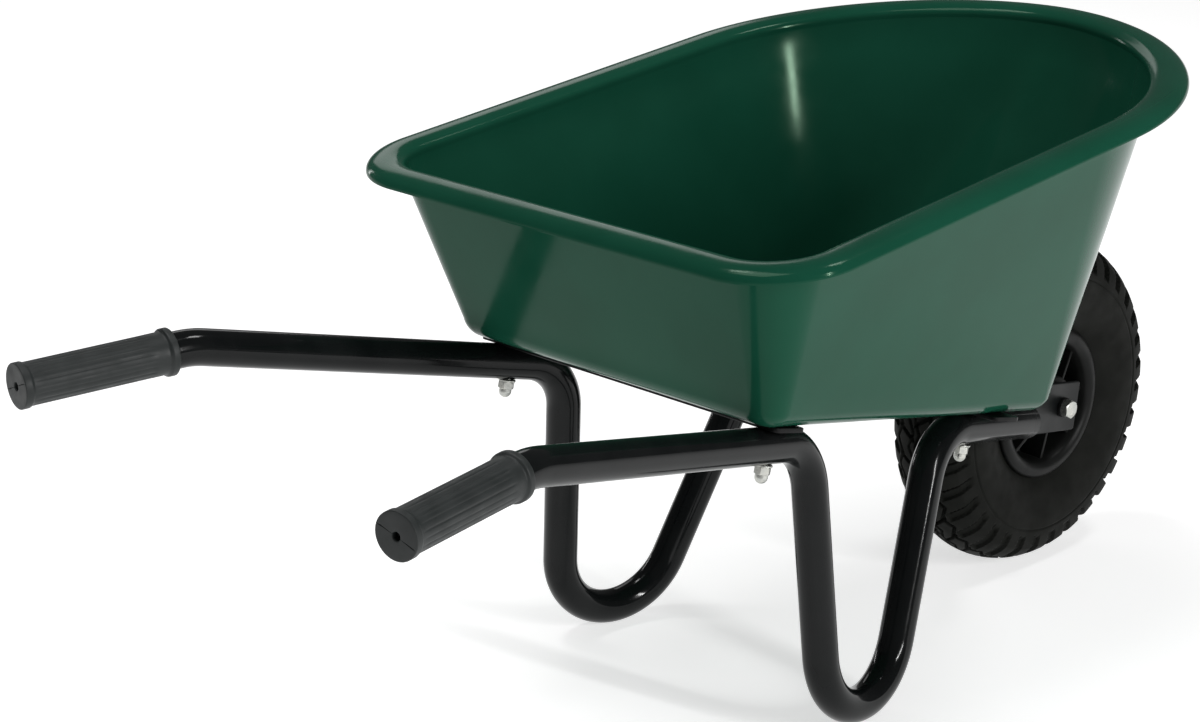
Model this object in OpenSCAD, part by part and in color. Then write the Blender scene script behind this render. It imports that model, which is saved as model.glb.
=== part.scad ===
// Small garden wheelbarrow: a moulded plastic tray bolted on two bent steel tubes, with one
// pneumatic wheel between the flattened front ends of the tubes.
// +X points forward to the wheel, +Y to the left, +Z up. The origin is on the ground, below the
// middle of the overall length. Most shapes are drawn from the axle and then moved to it.

/* [Wheel] */
// Outer diameter of the tyre
tyre_d = 260; // [256:1:262]
// Width of the tyre section
tyre_w = 70; // [66:1:72]
// Diameter of the rim flange, a 4 inch rim
rim_flange_d = 120.6; // [118:0.2:122]
// Width over the two rim flanges
rim_w = 60.6; // [58:0.2:62]
// Number of radial ribs on each side of the rim
rib_count = 8; // [6:1:10]

/* [Axle] */
// Diameter of the axle bolt
axle_d = 8; // [7.8:0.1:8.2]
// Outer diameter of the spacer sleeve that the bushes turn on
sleeve_d = 16; // [15:0.5:17]
// Distance between the inner faces of the two tube ends
fork_gap = 76; // [75:0.5:78]

/* [Frame tubes] */
// Outer diameter of the frame tube
tube_d = 25; // [24:0.5:25.4]
// Wall thickness of the frame tube
tube_wall = 1.5; // [1.2:0.1:2]
// Angle that each tube's plane opens towards the handles
tube_yaw = 9.58; // [9:0.01:10]
// Angle that each tube's plane leans out at the top
tube_lean = 4.56; // [4:0.01:5]
// Downward slope of the tube towards the axle
run_slope = 13.03; // [12.5:0.01:13.5]
// Lean of the rear leg from upright
rear_leg_lean = 1.88; // [1:0.01:3]
// Lean of the front leg from upright
front_leg_lean = 24.83; // [24:0.01:26]
// Length of tube in each grip
grip_l = 108; // [104:1:110]

/* [Tray] */
// Width over the tray's rolled rim
tray_w = 424; // [418:1:430]
// Length of the rim, along its own slope
rim_l = 571; // [566:1:574]
// Width of the rolled lip, from its inner shoulder to its outer edge
lip_w = 27; // [24:1:29]
// Wall thickness of the tray
tray_wall = 3; // [2.6:0.2:3.4]
// Depth of the hollow for the tyre in the front of the floor
wheel_hollow = 30; // [28:1:34]

/* [Hidden] */
$fn = 64;
tyre_r = tyre_d / 2;
tube_r = tube_d / 2;

// ---- frame tube path, in the tube's own plane: u forward, v up ----
plane_y = 67.36;               // half the distance between the planes at the axle, on the ground
run_v = 127.2;                 // height of the tube run at u = 0
grip_end_u = -808.7;           // outer face of the grip
grip_bend_u = -685.2;
rear_bend_u = -386.5;
front_bend_u = -219.1;
flatten_u = -84;               // where the round tube starts to flatten
grip_drop = 1.8;               // slope of the grip, down towards its end
grip_bend_r = 70;
leg_bend_r = 42;
function on_run(u) = [u, run_v - u * tan(run_slope)];
grip_bend = on_run(grip_bend_u);
rear_bend = on_run(rear_bend_u);
front_bend = on_run(front_bend_u);
grip_dir = [-cos(grip_drop), -sin(grip_drop)];
grip_run = (grip_bend_u - grip_end_u) / cos(grip_drop);
grip_end = grip_bend + grip_dir * grip_run;
grip_wall = 4;                 // end wall of the grip beyond the tube
tube_end = grip_end - grip_dir * grip_wall;
foot_v = (rear_bend_u - front_bend_u + rear_bend[1] * tan(rear_leg_lean)
  + front_bend[1] * tan(front_leg_lean)) / (tan(rear_leg_lean) + tan(front_leg_lean));
foot = [rear_bend_u + (rear_bend[1] - foot_v) * tan(rear_leg_lean), foot_v];
foot_half = (rear_leg_lean + front_leg_lean) / 2;
foot_tilt = (front_leg_lean - rear_leg_lean) / 2;
// the loop's radius makes the tube just touch the ground
foot_r = (tube_r / cos(tube_lean) - foot_v) / (cos(foot_tilt) / sin(foot_half) - 1);
path = [tube_end, grip_bend, rear_bend, foot, front_bend, on_run(flatten_u)];
bend_r = [0, grip_bend_r, leg_bend_r, foot_r, leg_bend_r, 0];
bend_step = 7.5;               // degrees between two rings of a bend
tube_sides = 24;

// ---- where the plane's points lie from the axle ----
lean_back = sin(tube_yaw) * sin(tube_lean);
run_u0 = lean_back * run_v / (cos(tube_yaw) + lean_back * tan(run_slope));
run_z0 = cos(tube_lean) * (run_v - run_u0 * tan(run_slope));
load_slope = atan(cos(tube_lean) * tan(run_slope) / (cos(tube_yaw) + lean_back * tan(run_slope)));
// the corner of the grip's end disc is the rearmost point of the whole object
grip_end_x = cos(tube_yaw) * grip_end[0] - lean_back * grip_end[1];
grip_dir_x = cos(tube_yaw) * grip_dir[0] - lean_back * grip_dir[1];
grip_r = 15.2;                 // the grip's end band
grip_body_r = 14.3;
grip_flange_r = 16;
rear_reach = -grip_end_x + grip_r * sqrt(1 - grip_dir_x * grip_dir_x);
axle_x = (rear_reach - tyre_r) / 2;

// ---- load plane: the underside of the tray floor ----
strip_t = 3;
load_z0 = run_z0 + (tube_r + strip_t) / cos(load_slope);
function run_x(u) = cos(tube_yaw) * u - lean_back * on_run(u)[1];
function run_y(u) = plane_y - sin(tube_yaw) * u - cos(tube_yaw) * sin(tube_lean) * on_run(u)[1];
rear_bolt_u = -430.5;
front_bolt_u = -171;
bolt_us = [rear_bolt_u, front_bolt_u];
bolt_d = 6;
bolt_clear = 0.3;

// ---- flattened tube end and axle stack ----
plate_t = 2 * tube_wall;
plate_h = 39;
plate_back = -47;
plate_front = 18;
plate_slope = 9;
plate_in = fork_gap / 2;
plate_out = plate_in + plate_t;
collar_l = 3.5;
collar_d = 15.5;
head_h = 5.3;
head_af = 13;
nut_h = 6.5;
bolt_tip = 2.5;
washer_t = 2;
washer_d = 36;
boss_t = 2;                    // the washer's raised middle, between its flange and the plate
boss_d = 20;
hub_room = plate_in - boss_t - washer_t;

// ---- tyre and rim section ----
crown_r = 40;                  // radius of the crown's arc across the tread
side_r = 58;                   // radius of each sidewall's arc
side_c = 93;                   // height of the sidewall arc's centre from the axle
bead_r = 51;                   // seat of the tyre's beads
flange_r = rim_flange_d / 2;
rim_half_w = rim_w / 2;
well_r = 46;
hub_r = 22;
bush_r = 12;
bush_flange_r = 15;
bush_flange_t = 1.5;
hub_half = hub_room - bush_flange_t - 0.2;
bush_l = 22;
web_t = 3;
rib_t = 3;
screw_r = 35;                  // distance of the rim screws from the axle
screw_d = 5;
running = 0.05;
valve_angle = 112.5;

// ---- tray outline ----
rim_rear_x = -519;
rim_rear_z = 368;
rim_slope = 5.94;
rim_corner_r = 65;
nose_l = 212;
nose_half = 206;               // half width of the rim where the nose begins
nose_power = 1.9;              // 2 would make the nose half an ellipse
lip_drop = 5;
floor_rear_x = -458;           // floor edges are the sharp corners of wall and floor, before the fillet
floor_front_x = -109;
floor_rear_half = 146;
floor_front_half = 106;
floor_rear_r = 14;
floor_front_r = 18;
floor_fillet = 18;
hollow_half = 78;              // half width of the hollow for the tyre
nose_split = 14;               // direction in which the floor's front corner ends on the rim
wall_flare = 22;
wall_inset = 2;

// ---- frames of reference ----
module at_axle() translate([axle_x, 0, 0]) children();
// the right tube's plane, drawn in X and Y as u and v
module tube_plane() translate([0, -plane_y, 0]) rotate([0, 0, tube_yaw]) rotate([90 - tube_lean, 0, 0])
  children();
// the load plane: X down the slope to the front, Z square to the floor
module load_plane() translate([0, 0, load_z0]) rotate([0, load_slope, 0]) children();
// the wheel's own frame: Z along the axle to the left, Y up
module wheel_frame() translate([0, 0, tyre_r]) rotate([90, 0, 180]) children();
// the flattened tube ends' frame: X forward and down along them
module plate_frame() translate([0, 0, tyre_r]) rotate([0, plate_slope, 0]) children();

// ---- skins: closed surfaces through rings of points ----
function unit(v) = v / norm(v);
function heading(v) = atan2(v[1], v[0]);
function middle(ring) = [for (p = ring) 1] * ring / len(ring);

// a closed skin: the rings run from the first end to the last, and each end is a fan of triangles, whose
// hub is the end's middle moved by `shift`
module skin(rings, shift = [0, 0, 0]) {
  n = len(rings[0]);
  m = len(rings);
  hubs = [middle(rings[0]) + shift, middle(rings[m - 1]) + shift];
  points = concat([for (ring = rings, p = ring) p], hubs);
  sides = [for (k = [0 : m - 2], i = [0 : n - 1]) let(j = (i + 1) % n)
    each [[k * n + i, k * n + j, (k + 1) * n + i], [k * n + j, (k + 1) * n + j, (k + 1) * n + i]]];
  first = [for (i = [0 : n - 1]) [m * n, (i + 1) % n, i]];
  last = [for (i = [0 : n - 1]) [m * n + 1, (m - 1) * n + i, (m - 1) * n + (i + 1) % n]];
  polyhedron(points, concat(sides, first, last), convexity = 8);
}

// ---- tube line: stations of place and heading along the bent tube ----
function bend_turn(i) = heading(path[i + 1] - path[i]) - heading(path[i] - path[i - 1]);
function cut_back(i) = bend_r[i] * tan(abs(bend_turn(i)) / 2);
function bend_stations(i) =
  let(
    d = unit(path[i] - path[i - 1]),
    side = sign(bend_turn(i)),
    centre = path[i] - d * cut_back(i) + [-d[1], d[0]] * bend_r[i] * side,
    steps = ceil(abs(bend_turn(i)) / bend_step)
  )
  [for (k = [0 : steps]) let(h = heading(d) + bend_turn(i) * k / steps)
    [centre + bend_r[i] * side * [sin(h), -cos(h)], h]];
tube_stations = concat(
  [[path[0], heading(path[1] - path[0])]],
  [for (i = [1 : len(path) - 2]) each bend_stations(i)],
  [[path[len(path) - 1], -run_slope]]);

// from the right tube's plane to the axle's frame: u forward, v up, w out to the right
function plane_point(u, v, w) = [0, -plane_y, 0]
  + u * [cos(tube_yaw), sin(tube_yaw), 0]
  + v * [-lean_back, cos(tube_yaw) * sin(tube_lean), cos(tube_lean)]
  + w * [sin(tube_yaw) * cos(tube_lean), -cos(tube_yaw) * cos(tube_lean), sin(tube_lean)];
function round_ring(station, r) = [for (i = [0 : tube_sides - 1]) let(a = i * 360 / tube_sides)
  plane_point(station[0][0] - sin(station[1]) * r * cos(a), station[0][1] + cos(station[1]) * r * cos(a),
    r * sin(a))];

// ---- flattened end: the round ring turns into two walls pressed together ----
function within(x) = max(-1, min(1, x));
function plate_point(x, y, z) = [x * cos(plate_slope) + z * sin(plate_slope), y,
  tyre_r - x * sin(plate_slope) + z * cos(plate_slope)];
function flat_ring(x, h, t) = [for (i = [0 : tube_sides - 1]) let(a = i * 360 / tube_sides)
  plate_point(x, -plate_in - plate_t / 2 - t / 2 * within(3 * sin(a)), h / 2 * within(1.02 * cos(a)))];
function blend(a, b, s) = [for (i = [0 : len(a) - 1]) a[i] * (1 - s) + b[i] * s];
function flattening_ring(s, r, h, t) = blend(round_ring([on_run(flatten_u), -run_slope], r),
  flat_ring(plate_back, h, t), s);

module frame_tube() at_axle() difference() {
  skin(concat(
    [for (s = [0.9 : -0.15 : 0.15]) flattening_ring(s, tube_r - tube_wall, plate_h - 2 * tube_wall, 0.3)],
    [for (k = [len(tube_stations) - 1 : -1 : 0]) round_ring(tube_stations[k], tube_r - tube_wall)],
    [for (station = tube_stations) round_ring(station, tube_r)],
    [for (s = [0.15 : 0.15 : 0.9]) flattening_ring(s, tube_r, plate_h, plate_t)],
    [flat_ring(plate_back, plate_h, plate_t), flat_ring(plate_front - 3, plate_h, plate_t),
      flat_ring(plate_front, plate_h - 4, plate_t)]));
  bolt_holes();
  plate_frame() rotate([90, 0, 0]) cylinder(h = plate_out + 10, d = axle_d + 2 * bolt_clear);
}

module bolt_holes() for (u = bolt_us)
  load_plane() translate([run_x(u) / cos(load_slope), -run_y(u), -60])
    cylinder(h = 80, d = bolt_d + 2 * bolt_clear, $fn = 32);

module right_frame_tube() color("#16181a") frame_tube();
module left_frame_tube() color("#16181a") mirror([0, 1, 0]) frame_tube();

// A rubber grip with a flange at each end, pushed over the tube
module grip() at_axle() tube_plane() translate(grip_end) rotate([0, 0, grip_drop]) rotate([90, 0, 90])
  difference() {
    rotate_extrude() polygon([
      [0, 0], [grip_r, 0], [grip_r, 5], [grip_body_r, 6.5], [grip_body_r, grip_l - 6],
      [grip_flange_r, grip_l - 4.5], [grip_flange_r, grip_l - 0.5], [grip_flange_r - 0.5, grip_l],
      [0, grip_l]]);
    translate([0, 0, grip_wall]) cylinder(h = grip_l, r = tube_r + running);
    translate([0, 0, -1]) cylinder(h = grip_wall + 2, d = 5.6, $fn = 24);
  }
module right_grip() color("#2c2f2f") grip();
module left_grip() color("#2c2f2f") mirror([0, 1, 0]) grip();

// ---- cross strips between the tubes and the tray ----
strip_w = 30;
rear_strip_half = 139;
front_strip_half = 118;
module strip(u, half) at_axle() load_plane() translate([run_x(u) / cos(load_slope), 0, -strip_t])
  linear_extrude(strip_t) difference() {
    square([strip_w, 2 * half], center = true);
    for (side = [-1, 1]) translate([0, side * run_y(u)]) circle(d = bolt_d + 2 * bolt_clear, $fn = 32);
  }
module rear_cross_strip() color("#141516") strip(rear_bolt_u, rear_strip_half);
module front_cross_strip() color("#141516") strip(front_bolt_u, front_strip_half);

// ---- tray fasteners, heights along the square to the tray floor ----
head_disc_t = 1.5;
nut_disc_t = 1.2;
tray_nut_h = 5.5;
cap_d = 8.8;                   // the closed end of the cap nut
cap_h = 6.3;
tray_bolt_tip = 2;
dome_r = 10;
dome_half = 7;
washer_play = 0.1;
clamp_t = strip_t + tube_d + washer_play; // from the tray to the nut's washer
nut_low = -clamp_t - nut_disc_t - tray_nut_h;
module at_each_bolt() at_axle() load_plane() for (u = bolt_us, side = [-1, 1])
  translate([run_x(u) / cos(load_slope), side * run_y(u), 0]) children();
module tray_bolts() color("#c9cbc8") at_each_bolt() {
  translate([0, 0, nut_low - tray_bolt_tip])
    cylinder(h = tray_wall + head_disc_t - nut_low + tray_bolt_tip, d = bolt_d);
  translate([0, 0, tray_wall + head_disc_t]) intersection() {
    cylinder(h = dome_r, r = dome_half);
    translate([0, 0, 1 - sqrt(dome_r * dome_r - dome_half * dome_half)]) sphere(r = dome_r);
  }
}
module ring(d, bore, t) difference() {
  cylinder(h = t, d = d);
  translate([0, 0, -1]) cylinder(h = t + 2, d = bore);
}
module tray_bolt_washers() color("#c9cbc8") at_each_bolt() translate([0, 0, tray_wall])
  ring(16, bolt_d + 2 * bolt_clear, head_disc_t);
module nut_washers() color("#c9cbc8") at_each_bolt() translate([0, 0, -clamp_t - nut_disc_t])
  ring(12.5, bolt_d + 2 * bolt_clear, nut_disc_t);
module tray_nuts() color("#c9cbc8") at_each_bolt() translate([0, 0, nut_low])
  difference() {
    union() {
      cylinder(h = tray_nut_h, d = 10 / cos(30), $fn = 6);
      translate([0, 0, cap_d / 2 - cap_h]) cylinder(h = cap_h, d = cap_d);
      translate([0, 0, cap_d / 2 - cap_h]) sphere(d = cap_d);
    }
    translate([0, 0, -tray_bolt_tip - 0.5]) cylinder(h = 20, d = bolt_d + 0.1);
  }

// ---- axle ----
module axle_bolt() color("#c9cbc8") at_axle() wheel_frame() {
  translate([0, 0, -plate_out - collar_l])
    cylinder(h = 2 * plate_out + 2 * collar_l + nut_h + bolt_tip, d = axle_d);
  translate([0, 0, -plate_out - collar_l - head_h]) cylinder(h = head_h, d = head_af / cos(30), $fn = 6);
}
module axle_nut() color("#c9cbc8") at_axle() wheel_frame() translate([0, 0, plate_out + collar_l])
  difference() {
    cylinder(h = nut_h, d = head_af / cos(30), $fn = 6);
    translate([0, 0, -1]) cylinder(h = nut_h + 2, d = axle_d + 0.1);
  }
module axle_collars() color("#1a1b1b") at_axle() wheel_frame() {
  translate([0, 0, plate_out]) ring(collar_d, axle_d + 2 * bolt_clear, collar_l);
  translate([0, 0, -plate_out - collar_l]) ring(collar_d, axle_d + 2 * bolt_clear, collar_l);
}
// a washer with a raised middle, which keeps its flange off the plate
module axle_washers() color("#c9cbc8") at_axle() wheel_frame() for (side = [0, 1]) mirror([0, 0, side])
  translate([0, 0, hub_room]) difference() {
    union() {
      cylinder(h = washer_t, d = washer_d);
      cylinder(h = washer_t + boss_t, d = boss_d);
    }
    translate([0, 0, -1]) cylinder(h = washer_t + boss_t + 2, d = axle_d + 2 * bolt_clear);
  }
module axle_sleeve() color("#a9aba8") at_axle() wheel_frame() translate([0, 0, -hub_room])
  ring(sleeve_d, axle_d + 2 * bolt_clear, 2 * hub_room);

// ---- wheel ----
// half section of the tyre or of the air space inside it, X out from the axle, Y along it
module tyre_section(inset) intersection() {
  translate([tyre_r - crown_r, 0]) circle(crown_r - inset * 1.6, $fn = 160);
  translate([side_c, side_r - tyre_w / 2]) circle(side_r - inset, $fn = 160);
  translate([side_c, tyre_w / 2 - side_r]) circle(side_r - inset, $fn = 160);
  translate([bead_r, -tyre_w]) square([tyre_r, 2 * tyre_w]);
}
tyre_wall = 5;
tube_gap = 0.3;
bead_toe = 13;
module tyre() color("#222322") at_axle() wheel_frame() rotate_extrude($fn = 144) difference() {
  tyre_section(0);
  tyre_section(tyre_wall);
  translate([0, -bead_toe]) square([70, 2 * bead_toe]);
}
module inner_tube() color("#2a2b2a") at_axle() wheel_frame() rotate_extrude($fn = 96) difference() {
  intersection() {
    tyre_section(tyre_wall + tube_gap);
    translate([bead_r + 2, -tyre_w]) square([tyre_r, 2 * tyre_w]);
  }
  intersection() {
    tyre_section(tyre_wall + tube_gap + 1.6);
    translate([bead_r + 3.6, -tyre_w]) square([tyre_r, 2 * tyre_w]);
  }
}

// one half of the moulded rim, drawn for the left side: barrel and flange, web, hub and ribs
module rim_half() {
  rotate_extrude($fn = 120) polygon([
    [hub_r - 2, 0], [bead_r - 1.5, 0], [bead_r - 1.5, rim_half_w - 8], [flange_r - 1.8, rim_half_w - 5],
    [flange_r, rim_half_w - 3], [flange_r - 0.6, rim_half_w - 1.2], [flange_r - 3, rim_half_w],
    [well_r + 4.5, rim_half_w - 0.6], [well_r + 2, rim_half_w - 3], [well_r, rim_half_w - 8],
    [well_r, web_t], [hub_r - 2, web_t]]);
  difference() {
    cylinder(h = hub_half, r = hub_r);
    translate([0, 0, -1]) cylinder(h = hub_half + 2, r = bush_r + running);
  }
  for (i = [0 : rib_count - 1]) rotate([0, 0, -90 + i * 360 / rib_count]) translate([0, rib_t / 2, 0])
    rotate([90, 0, 0]) linear_extrude(rib_t) polygon([
      [hub_r - 3, 1], [well_r + 1, 1], [well_r + 1, rim_half_w - 6], [hub_r - 3, hub_half - 3]]);
}
module at_screws() for (i = [0 : 3]) rotate([0, 0, 22.5 + i * 90]) translate([screw_r, 0, 0]) children();
module at_valve() rotate([0, 0, valve_angle + 45]) children();
module rim_half_left() color("#1b1c1c") at_axle() wheel_frame() difference() {
  rim_half();
  at_screws() translate([0, 0, -1]) cylinder(h = web_t + 2, d = screw_d + 0.6);
  at_valve() translate([well_r - 4, 0, valve_y]) rotate([0, 90, 0]) cylinder(h = 12, d = 9);
}
module rim_half_right() color("#1b1c1c") at_axle() wheel_frame() difference() {
  union() {
    mirror([0, 0, 1]) rim_half();
    at_screws() translate([0, 0, -16]) cylinder(h = 15, r = 5.5);
  }
  at_screws() translate([0, 0, -14]) cylinder(h = 20, d = screw_d + 0.1);
}
module rim_screws() color("#202122") at_axle() wheel_frame() at_screws() {
  translate([0, 0, -13]) cylinder(h = 13 + web_t, d = screw_d);
  translate([0, 0, web_t]) cylinder(h = 3, r1 = 5, r2 = 4);
}
module hub_bushes() color("#d8d8d2") at_axle() wheel_frame() for (side = [0, 1]) mirror([0, 0, side])
  difference() {
    union() {
      translate([0, 0, hub_half - bush_l]) cylinder(h = bush_l, r = bush_r);
      translate([0, 0, hub_half]) cylinder(h = bush_flange_t, r = bush_flange_r);
    }
    cylinder(h = 60, d = sleeve_d + 2 * running);
  }
valve_y = 8;                   // distance of the valve hole from the rim's middle
cap_gap = 0.01;
module valve_stem() color("#b99b52") at_axle() wheel_frame() at_valve() difference() {
  union() {
    translate([well_r - 6, 0, valve_y]) rotate([0, 90, 0]) cylinder(h = bead_r + 1.8 - well_r + 6, d = 8);
    translate([well_r - 6, 0, valve_y - 4]) cylinder(h = 15, d = 8);
  }
  translate([well_r - 6, 0, valve_y + 4]) cylinder(h = 20, d = 2.5);
}
module valve_cap() color("#111212") at_axle() wheel_frame() at_valve()
  translate([well_r - 6, 0, valve_y + 11 + cap_gap]) cylinder(h = 9, d1 = 9, d2 = 7);

// ---- tray ----
// A loop of matched points around the floor and the rim. Each entry holds the floor's point and the
// direction square to its edge, then the rim's, in the plane of each and from the middle of its rear edge.
function dir(a) = [cos(a), sin(a)];
// centre of a circle of radius r that touches the two edges, square to a and b, which meet at a corner
function corner_centre(corner, a, b, r) = corner - r * (dir(a) + dir(b)) / (1 + dir(a) * dir(b));
floor_l = (floor_front_x - floor_rear_x) / cos(load_slope);
floor_side = 90 - atan((floor_rear_half - floor_front_half) / floor_l);
rim_side = 90 - atan((tray_w / 2 - nose_half) / (rim_l - nose_l));
floor_rear_c = corner_centre([0, floor_rear_half], 180, floor_side, floor_rear_r);
floor_front_c = corner_centre([floor_l, floor_front_half], floor_side, 0, floor_front_r);
rim_rear_c = corner_centre([0, tray_w / 2], 180, rim_side, rim_corner_r);
function floor_rear(a) = floor_rear_c + floor_rear_r * dir(a);
function floor_front(a) = floor_front_c + floor_front_r * dir(a);
function rim_rear(a) = rim_rear_c + rim_corner_r * dir(a);
// the point of the rounded nose whose edge is square to direction a
function nose(a) =
  let(
    q = 1 / (nose_power - 1),
    x = pow(max(cos(a), 0) * pow(nose_l, nose_power), q),
    y = pow(max(sin(a), 0) * pow(nose_half, nose_power), q),
    s = pow(pow(x / nose_l, nose_power) + pow(y / nose_half, nose_power), 1 / nose_power)
  )
  [rim_l - nose_l + x / s, y / s];
// how far the front edge of the floor is drawn back for the tyre, and the edge's direction there
function hollow(y) = wheel_hollow * (1 + cos(180 * min(1, y / hollow_half))) / 2;
function hollow_dir(y) = -atan(wheel_hollow * PI / 2 / hollow_half * sin(180 * min(1, y / hollow_half)));
function share(from, to, n) = [for (i = [0 : n]) from + (to - from) * i / n];
half_loop = concat(
  [for (f = [0, 0.5]) [f * [0, floor_rear_c[1]], 180, f * [0, rim_rear_c[1]], 180]],
  [for (f = share(0, 1, 7)) let(a = 180 + (floor_side - 180) * f, b = 180 + (rim_side - 180) * f)
    [floor_rear(a), a, rim_rear(b), b]],
  [for (f = [0.33, 0.67]) [floor_rear(floor_side) * (1 - f) + floor_front(floor_side) * f, floor_side,
    rim_rear(rim_side) * (1 - f) + nose(rim_side) * f, rim_side]],
  [for (f = share(0, 1, 10)) let(b = rim_side + (nose_split - rim_side) * f)
    [floor_front(floor_side * (1 - f)), floor_side * (1 - f), nose(b), b]],
  [for (f = [0.8 : -0.2 : 0]) let(y = floor_front_c[1] * f)
    [[floor_l - hollow(y), y], hollow_dir(y), nose(nose_split * f), nose_split * f]]);
function other_side(e) = [[e[0][0], -e[0][1]], -e[1], [e[2][0], -e[2][1]], -e[3]];
loop = concat(half_loop, [for (i = [len(half_loop) - 2 : -1 : 1]) other_side(half_loop[i])]);

function load_point(p, h) = let(x = p[0] + floor_rear_x / cos(load_slope))
  [x * cos(load_slope) + h * sin(load_slope), p[1], load_z0 - x * sin(load_slope) + h * cos(load_slope)];
function rim_point(p, h) = [rim_rear_x + p[0] * cos(rim_slope) - h * sin(rim_slope), p[1],
  rim_rear_z + p[0] * sin(rim_slope) + h * cos(rim_slope)];
function floor_ring(g, h) = [for (e = loop) load_point(e[0] + g * dir(e[1]), h)];
function rim_ring(g, h) = [for (e = loop) rim_point(e[2] + g * dir(e[3]), h)];

// the fillet between floor and wall, from the floor up: r is its radius, h the floor's own height
function fillet_rings(g, h, r) = let(set_back = r * tan((90 - wall_flare) / 2))
  [for (a = share(-90, -wall_flare, 4)) floor_ring(g - set_back + r * cos(a), h + r + r * sin(a))];
function reversed(list) = [for (i = [len(list) - 1 : -1 : 0]) list[i]];

// the rolled lip, from under it round its outer edge to the inner wall: distance in from the outer
// edge and height over the rim plane
lip_under = [[-lip_w + tray_wall, -5], [-lip_w + tray_wall + 4, 0.2], [-9, 0.2], [-4, -2], [-3, -lip_drop]];
lip_over = [[0, -lip_drop], [0, -3.6], [-1, -1.2], [-3.6, 1.2], [-8, 3], [-14, 3.6], [-20, 3.2],
  [-25, 1.2], [-lip_w - 0.3, -1.6], [-lip_w - 0.6, -6]];

// the rear of the floor is one flat face, clear of the bolts
rear_pad_shift = -120;
module tray() color("#1d5a40") at_axle() difference() {
  skin(concat(
    fillet_rings(0, 0, floor_fillet),
    [for (p = concat(lip_under, lip_over)) rim_ring(p[0], p[1])],
    reversed(fillet_rings(-wall_inset, tray_wall, floor_fillet - tray_wall))),
    rear_pad_shift * [cos(load_slope), 0, -sin(load_slope)]);
  for (side = [0, 1]) mirror([0, side, 0]) bolt_holes();
}

tray();
left_frame_tube();
right_frame_tube();
left_grip();
right_grip();
rear_cross_strip();
front_cross_strip();
tray_bolts();
tray_bolt_washers();
nut_washers();
tray_nuts();
axle_bolt();
axle_nut();
axle_collars();
axle_washers();
axle_sleeve();
tyre();
inner_tube();
valve_stem();
valve_cap();
rim_half_left();
rim_half_right();
rim_screws();
hub_bushes();
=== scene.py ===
"""The looks of a small garden wheelbarrow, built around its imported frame.

Shapes are drawn in millimetres from the point on the ground below the axle: +X forward to the wheel, +Y to
the left, +Z up. new_piece() turns them into metres in the frame's own coordinates.
"""
import math

import bmesh
import bpy
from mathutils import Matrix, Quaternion, Vector


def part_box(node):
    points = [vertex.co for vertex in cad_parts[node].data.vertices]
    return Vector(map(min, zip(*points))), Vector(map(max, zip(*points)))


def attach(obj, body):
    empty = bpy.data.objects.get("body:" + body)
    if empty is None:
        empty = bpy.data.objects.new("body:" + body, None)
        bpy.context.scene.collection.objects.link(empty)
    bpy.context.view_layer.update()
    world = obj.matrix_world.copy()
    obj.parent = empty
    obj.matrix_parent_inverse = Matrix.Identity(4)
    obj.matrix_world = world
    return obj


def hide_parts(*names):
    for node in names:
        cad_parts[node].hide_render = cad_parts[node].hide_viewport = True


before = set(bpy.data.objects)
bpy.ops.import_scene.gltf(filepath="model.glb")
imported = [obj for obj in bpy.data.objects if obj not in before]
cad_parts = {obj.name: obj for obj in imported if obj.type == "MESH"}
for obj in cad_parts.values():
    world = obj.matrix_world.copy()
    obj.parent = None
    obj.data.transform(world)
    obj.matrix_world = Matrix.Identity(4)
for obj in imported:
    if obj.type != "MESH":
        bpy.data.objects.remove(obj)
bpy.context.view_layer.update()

# ---- driving dimensions, from the frame where it can be measured ----
MM = 0.001
tyre_low, tyre_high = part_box("tyre")
AXLE_X = (tyre_low.x + tyre_high.x) / 2 / MM
TYRE_R = (tyre_high.z - tyre_low.z) / 2 / MM
TYRE_HALF = (tyre_high.y - tyre_low.y) / 2 / MM

TUBE_R = 12.5
TUBE_WALL = 1.5
TUBE_YAW = 9.58                # how far each tube's plane opens towards the handles
TUBE_LEAN = 4.56               # how far it leans in at the top
RUN_SLOPE = 13.03              # slope of the straight run under the tray, in that plane
REAR_LEG_LEAN = 1.88           # how far the rear leg leans forward on its way down
FRONT_LEG_LEAN = 24.83         # how far the front leg leans back on its way down
PLANE_Y = 67.36                # the plane's distance from the middle, on the ground below the axle
RUN_V = 127.2                  # how far up the plane the run's line passes that point
GRIP_END_U = -808.7            # the grip's end, the corners of the bends, and the start of the flattened
GRIP_BEND_U = -685.2           # end, forward of that point
REAR_BEND_U = -386.5
FRONT_BEND_U = -219.1
FLATTEN_U = -84
GRIP_DROP = 1.8                # how far below level the handle points, in the plane
GRIP_BEND_R = 70
LEG_BEND_R = 42
BOLT_US = (-430.5, -171)       # the tray's rear and front bolts, along the run
GRIP_L = 108
GRIP_WALL = 4                  # the wall across the grip's end
FORK_HALF = 38                 # inner face of each flattened end

LOAD_SLOPE = 13.1282           # slope of the tray's floor
LOAD_Z0 = 142.321              # height of its underside above the ground, carried on to the axle
STRIP_T = 3
TRAY_WALL = 3


# ---- small helpers ----
def sind(a):
    return math.sin(math.radians(a))


def cosd(a):
    return math.cos(math.radians(a))


def tand(a):
    return math.tan(math.radians(a))


def turns(n):
    """The angles of n points round a circle."""
    return [360 * i / n for i in range(n)]


def pointing(azimuth, elevation):
    """A direction in the frame's axes. Azimuth 0 is forward, and 90 is to the left."""
    level = cosd(elevation)
    return Vector((level * cosd(azimuth), level * sind(azimuth), sind(elevation)))


def lerp(a, b, t):
    return a + (b - a) * t


def steps(a, b, n):
    return [lerp(a, b, i / n) for i in range(n + 1)]


def smooth(t):
    """0 below 0, 1 above 1, and a soft step between."""
    t = min(1.0, max(0.0, t))
    return t * t * (3 - 2 * t)


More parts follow.
